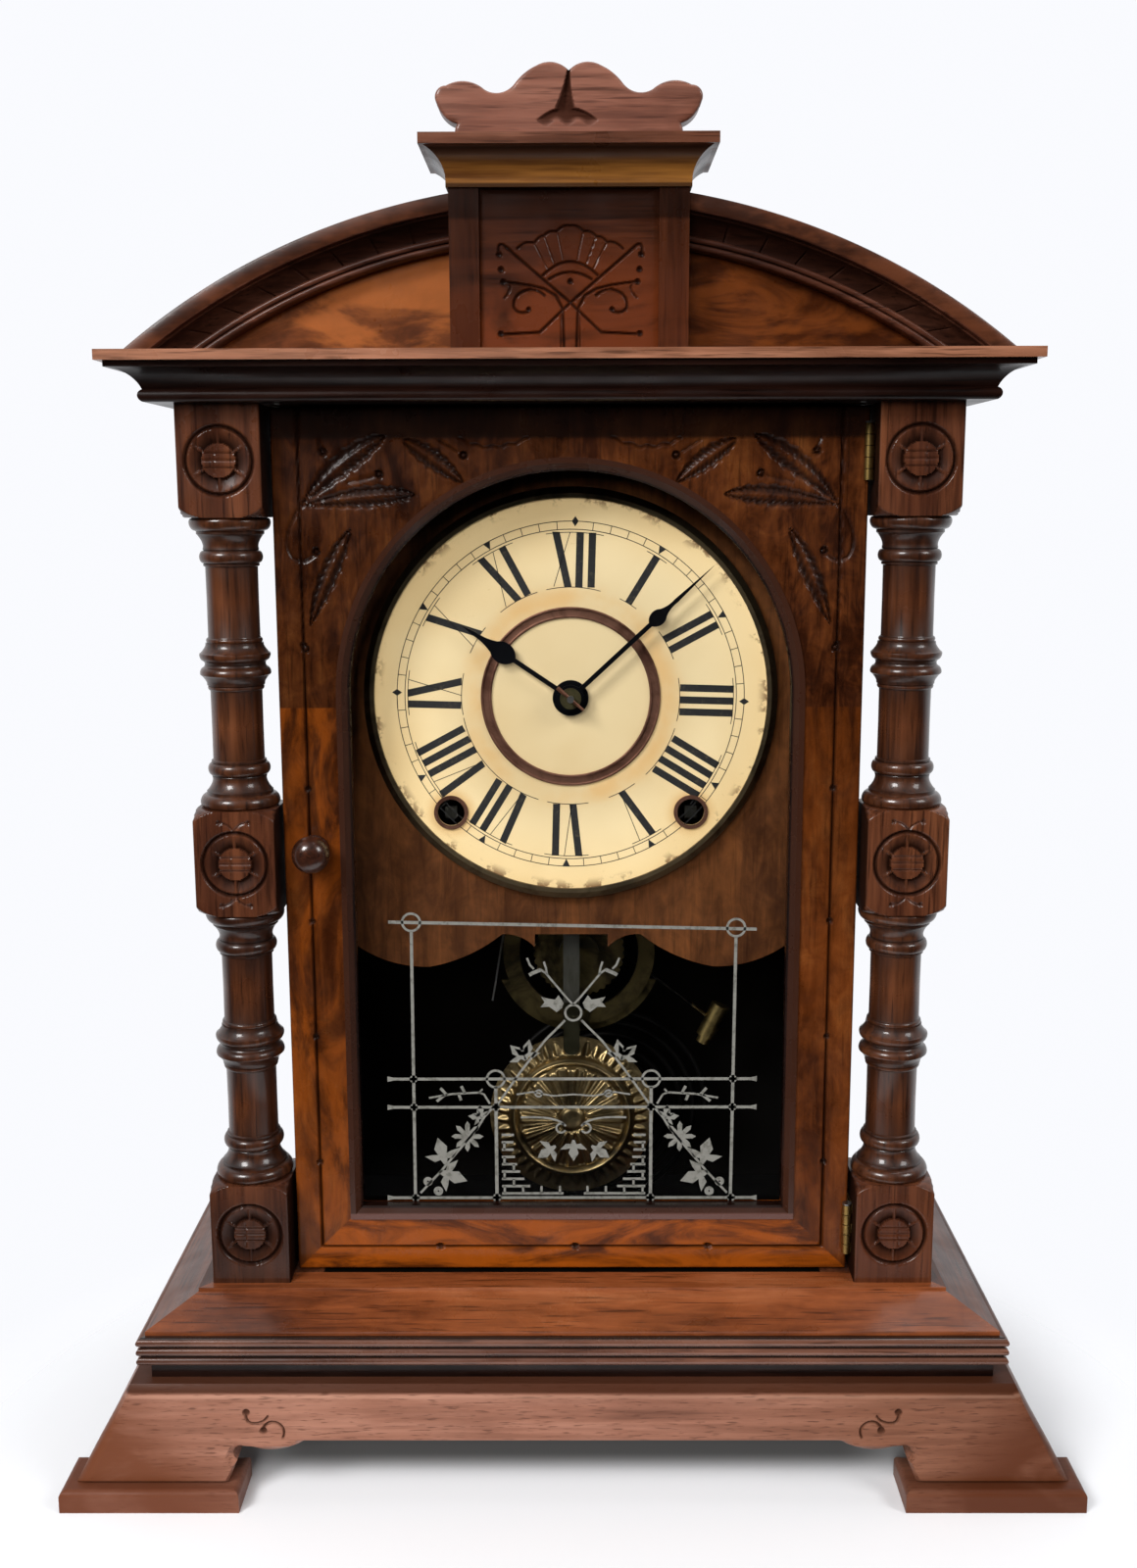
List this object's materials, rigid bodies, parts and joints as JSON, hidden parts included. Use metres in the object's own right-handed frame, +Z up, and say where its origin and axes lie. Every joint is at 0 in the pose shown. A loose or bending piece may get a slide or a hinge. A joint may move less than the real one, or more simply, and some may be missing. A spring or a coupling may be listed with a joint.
{
  "type": "parlour shelf clock",
  "caption": "Wooden shelf clock with turned columns, arched pediment and scalloped crest; glazed door over round dial, pendulum and coil gong.",
  "frame": {"origin": "bottom centre of the clock's box, on the surface that it stands on", "axes": "+Z up; the dial and door face -Y; +X is to the right of someone looking at the dial"},
  "size_m": [0.384, 0.15, 0.52],
  "materials": {
    "walnut": "dark reddish-brown varnished walnut",
    "walnut_turned": "dark varnished turned walnut",
    "walnut_burl": "varnished burl walnut veneer",
    "walnut_board": "thin satin walnut",
    "pine": "plain unvarnished secondary wood",
    "glass": "clear door glass",
    "brass": "aged brass",
    "copper": "copper-washed brass",
    "dial_paint": "cream dial paint, aged",
    "blued_steel": "blued steel",
    "steel": "bright steel",
    "iron": "black iron"
  },
  "bodies": {
    "case": {"foot_pads": "walnut", "base_skirt_front": "walnut", "base_skirt_sides": "walnut", "plinth_reed_front": "walnut", "plinth_reed_sides": "walnut", "plinth_bevel_front": "walnut", "plinth_bevel_sides": "walnut", "case_sides": "walnut", "cornice_moulding_front": "walnut", "cornice_moulding_sides": "walnut", "cornice_slab": "walnut", "pediment_arches": "walnut", "tower_panel": "walnut", "tower_pilasters": "walnut", "tower_cap": "walnut", "crest": "walnut", "base_frame_board": "walnut", "column_left": "walnut_turned", "column_right": "walnut_turned", "tympanum_panels": "walnut_burl", "dial_board": "walnut_board", "base_glue_blocks": "pine", "case_floor": "pine", "back_board": "pine", "case_top_board": "pine", "tower_block": "pine", "dial_cleats": "pine", "movement_blocks": "pine", "hinge_case_leaves": "brass", "dial_rim": "brass", "movement_front_plate": "brass", "movement_back_plate": "brass", "dial_centre_ring": "copper", "winding_eyelets": "copper", "dial_plate": "dial_paint", "gong_coil": "blued_steel", "mainsprings": "blued_steel", "hinge_pins": "steel", "movement_pillars": "steel", "gong_post": "iron"},
    "door": {"door_frame": "walnut_burl", "door_moulding": "walnut", "door_glass": "glass", "door_knob": "walnut_turned", "hinge_door_leaves": "brass"},
    "minute": {"minute_hand": "blued_steel", "hand_washer": "brass", "hand_pin": "copper", "centre_arbor": "steel"},
    "hour": {"hour_hand": "blued_steel", "hour_wheel": "brass"},
    "minute_gear": {"minute_wheel": "brass"},
    "pendulum": {"pendulum_rod": "steel", "pendulum_bob": "brass"},
    "verge": {"verge": "steel"},
    "escape": {"escape_wheel": "brass"},
    "count": {"count_wheel": "brass"},
    "time_winding": {"time_winding_arbor": "steel"},
    "strike_winding": {"strike_winding_arbor": "steel"},
    "hammer": {"strike_hammer": "brass"}
  },
  "joints": [
    {"name": "door_hinge", "type": "hinge", "parent": "case", "child": "door", "pos_m": [0.1064, -0.035, 0.242], "axis": [0, 0, 1], "range_deg": [0, 90]},
    {"name": "minute_turn", "type": "hinge", "parent": "case", "child": "minute", "pos_m": [0, -0.0139, 0.299], "axis": [0, 1, 0], "continuous": true},
    {"name": "hour_turn", "type": "hinge", "parent": "case", "child": "hour", "pos_m": [0, -0.012, 0.299], "axis": [0, 1, 0], "continuous": true},
    {"name": "minute_gear_turn", "type": "hinge", "parent": "case", "child": "minute_gear", "pos_m": [0.013, 0.008, 0.299], "axis": [0, 1, 0], "continuous": true},
    {"name": "pendulum_swing", "type": "hinge", "parent": "case", "child": "pendulum", "pos_m": [0, 0.0065, 0.276], "axis": [0, 1, 0], "range_deg": [-5, 5]},
    {"name": "verge_rock", "type": "hinge", "parent": "case", "child": "verge", "pos_m": [0, 0.013, 0.276], "axis": [0, 1, 0], "range_deg": [-5, 5]},
    {"name": "escape_turn", "type": "hinge", "parent": "case", "child": "escape", "pos_m": [0, 0.022, 0.257], "axis": [0, 1, 0], "continuous": true},
    {"name": "count_turn", "type": "hinge", "parent": "case", "child": "count", "pos_m": [0.003, 0.013, 0.193], "axis": [0, 1, 0], "continuous": true},
    {"name": "time_winding_turn", "type": "hinge", "parent": "case", "child": "time_winding", "pos_m": [-0.0462, 0, 0.2543], "axis": [0, 1, 0], "continuous": true},
    {"name": "strike_winding_turn", "type": "hinge", "parent": "case", "child": "strike_winding", "pos_m": [0.0462, 0, 0.2543], "axis": [0, 1, 0], "continuous": true},
    {"name": "hammer_swing", "type": "hinge", "parent": "case", "child": "hammer", "pos_m": [0.018, 0.036, 0.19], "axis": [0, 1, 0], "range_deg": [-18, 4.5], "stiffness_Nm_per_rad": 0.05, "springref_deg": -3.44}
  ],
  "couplings": [
    {"joint": "hour_turn", "follows": "minute_turn", "ratio": 0.083333},
    {"joint": "minute_gear_turn", "follows": "minute_turn", "ratio": -0.33333},
    {"joint": "verge_rock", "follows": "pendulum_swing", "ratio": 1}
  ]
}
